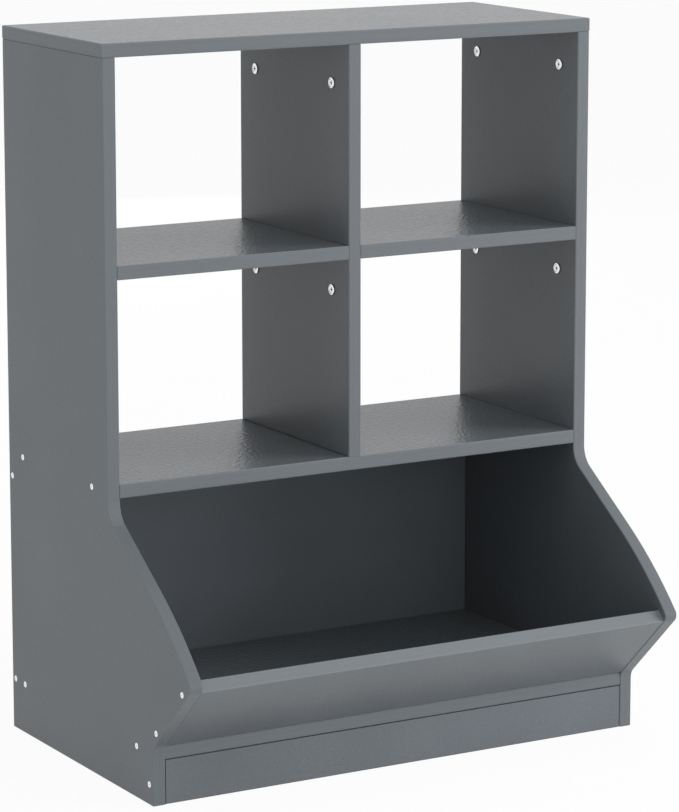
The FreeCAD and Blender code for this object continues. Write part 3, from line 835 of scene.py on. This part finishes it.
@dataclass
class Studio:
    """A pale floor that reads white to the camera, a soft sky and softboxes."""

    sky: float = 0.48
    floor_tone: str = "#EDEDED"
    floor_white: float = 0.94
    floor_half: float = 40.0
    floor_drop: float = 0.5 * MM
    lamps: tuple[Softbox, ...] = (
        Softbox("front_softbox", (0.0, -4.0, 1.2), 29.0),
        Softbox("high_softbox", (0.0, -2.6, 3.0), 13.0),
        Softbox("overhead_softbox", (0.0, 0.0, 3.0), 11.0),
        Softbox("right_softbox", (3.5, -2.0, 1.2), 178.0),
        Softbox("left_softbox", (-4.0, 0.0, 1.0), 18.0),
        Softbox("back_softbox", (1.0, 4.0, 1.1), 35.0),
    )

    def build(self) -> Iterable[bpy.types.Object]:
        """Builds the floor, the sky and the lamps.

        Returns:
            The floor and the lamps, each as it is placed.
        """
        yield self.floor()
        self.light_sky()
        for lamp in self.lamps:
            yield lamp.place()

    def floor(self) -> bpy.types.Object:
        """Lays the floor at the ground.

        Returns:
            The floor.
        """
        shape = bmesh.new()
        bmesh.ops.create_grid(shape, x_segments=1, y_segments=1, size=self.floor_half)
        floor = add_object("studio_floor", mesh_of("studio_floor", shape))
        floor.location.z = -self.floor_drop
        floor.data.materials.append(self.floor_material())
        return floor

    def floor_material(self) -> bpy.types.Material:
        """Matt floor paint, whitened for the camera, with part of its shading kept.

        Returns:
            The material.
        """
        material = bpy.data.materials.new("studio_floor_paint")
        tree = bare_tree(material)
        paint = add_node(tree, "ShaderNodeBsdfDiffuse", in_Color=colour(self.floor_tone))
        white = add_node(tree, "ShaderNodeEmission", in_Strength=1.0)
        share = add_node(tree, "ShaderNodeMath", {0: self.seen_directly(tree)},
                         operation="MULTIPLY", in_1=self.floor_white)
        mix = add_node(tree, "ShaderNodeMixShader", {
            0: share.outputs[0], 1: paint.outputs[0], 2: white.outputs[0]})
        add_node(tree, "ShaderNodeOutputMaterial", {"Surface": mix.outputs[0]})
        return material

    @staticmethod
    def seen_directly(tree: bpy.types.NodeTree) -> Socket:
        """One for camera, glossy and transmission rays, and zero for diffuse light.

        Args:
            tree: the node tree of the floor's material or of the sky.

        Returns:
            The output that gives it.
        """
        path = add_node(tree, "ShaderNodeLightPath")
        total = path.outputs["Is Camera Ray"]
        for name in ("Is Glossy Ray", "Is Transmission Ray"):
            total = add_node(tree, "ShaderNodeMath", {0: total, 1: path.outputs[name]},
                             operation="MAXIMUM").outputs[0]
        return total

    def light_sky(self) -> None:
        """A soft white sky for the object, and plain white behind it for the camera."""
        world = bpy.data.worlds.new("studio_sky")
        bpy.context.scene.world = world
        tree = bare_tree(world)
        strength = add_node(tree, "ShaderNodeMapRange", {"Value": self.seen_directly(tree)},
                            in_To_Min=self.sky, in_To_Max=1.0)
        sky = add_node(tree, "ShaderNodeBackground",
                       {"Strength": strength.outputs["Result"]}, in_Color=WHITE)
        add_node(tree, "ShaderNodeOutputWorld", {"Surface": sky.outputs[0]})


@dataclass(frozen=True)
class PhotoCamera:
    """The photograph's camera: where it stood, the way it looked and its framing."""

    at: tuple[float, float, float] = (-1.9220, -3.3316, 1.1366)
    azimuth: float = 30.078
    down: float = 10.05
    focal_pixels: float = 3591.4
    centre: tuple[float, float] = (347.33, 331.34)
    picture: tuple[int, int] = (679, 812)
    sensor_mm: float = 36.0
    farthest_seen: float = 200.0

    def place(self) -> bpy.types.Object:
        """Adds the camera and makes it the scene's own.

        Returns:
            The camera.
        """
        long_side = max(self.picture)
        data = bpy.data.cameras.new("photo_camera")
        data.sensor_width = self.sensor_mm
        data.lens = self.focal_pixels / long_side * self.sensor_mm
        data.shift_x = (self.picture[0] / 2 - self.centre[0]) / long_side
        data.shift_y = (self.centre[1] - self.picture[1] / 2) / long_side
        data.clip_end = self.farthest_seen
        camera = add_object("photo_camera", data)
        camera.location = self.at
        camera.rotation_euler = (math.radians(90 - self.down), 0.0,
                                 math.radians(-self.azimuth))
        bpy.context.scene.camera = camera
        return camera


# -------------------------------------------------------------------------------------
# The unit
# -------------------------------------------------------------------------------------


def main() -> None:
    """Sets the camera, dresses the unit and builds the studio round it."""
    logging.basicConfig(level=logging.INFO, format="%(name)s: %(message)s")
    bpy.context.scene.view_settings.view_transform = "Standard"
    LOG.info("camera %s", PhotoCamera().place().name)
    for name in Carcass().dress():
        LOG.info("dressed %s", name)

    screws = ScrewHeads(Zinc("zinc_plated_screw"), "screw_zinc", {
        f"{name}_screws": (Facing.LEFT, Facing.RIGHT)
        for name in ("lower_shelf", "bin_back", "bin_floor", "bin_front", "toe_kick")})
    # The cams' flanks are painted dark, as painted shade.
    cams = CamLocks(Zinc("die_cast_zinc_cam", flank="#2E3032"), "cam_zinc", {
        "side_left_cam_locks": (Facing.RIGHT, Facing.RIGHT),
        "side_right_cam_locks": (Facing.LEFT, Facing.LEFT),
        "divider_cam_locks": (Facing.LEFT, Facing.LEFT)})
    for kind in (screws, cams):
        for piece in kind.build():
            LOG.info("built %s", piece.name)
    for item in Studio().build():
        LOG.info("placed %s", item.name)


if __name__ == "__main__":
    main()
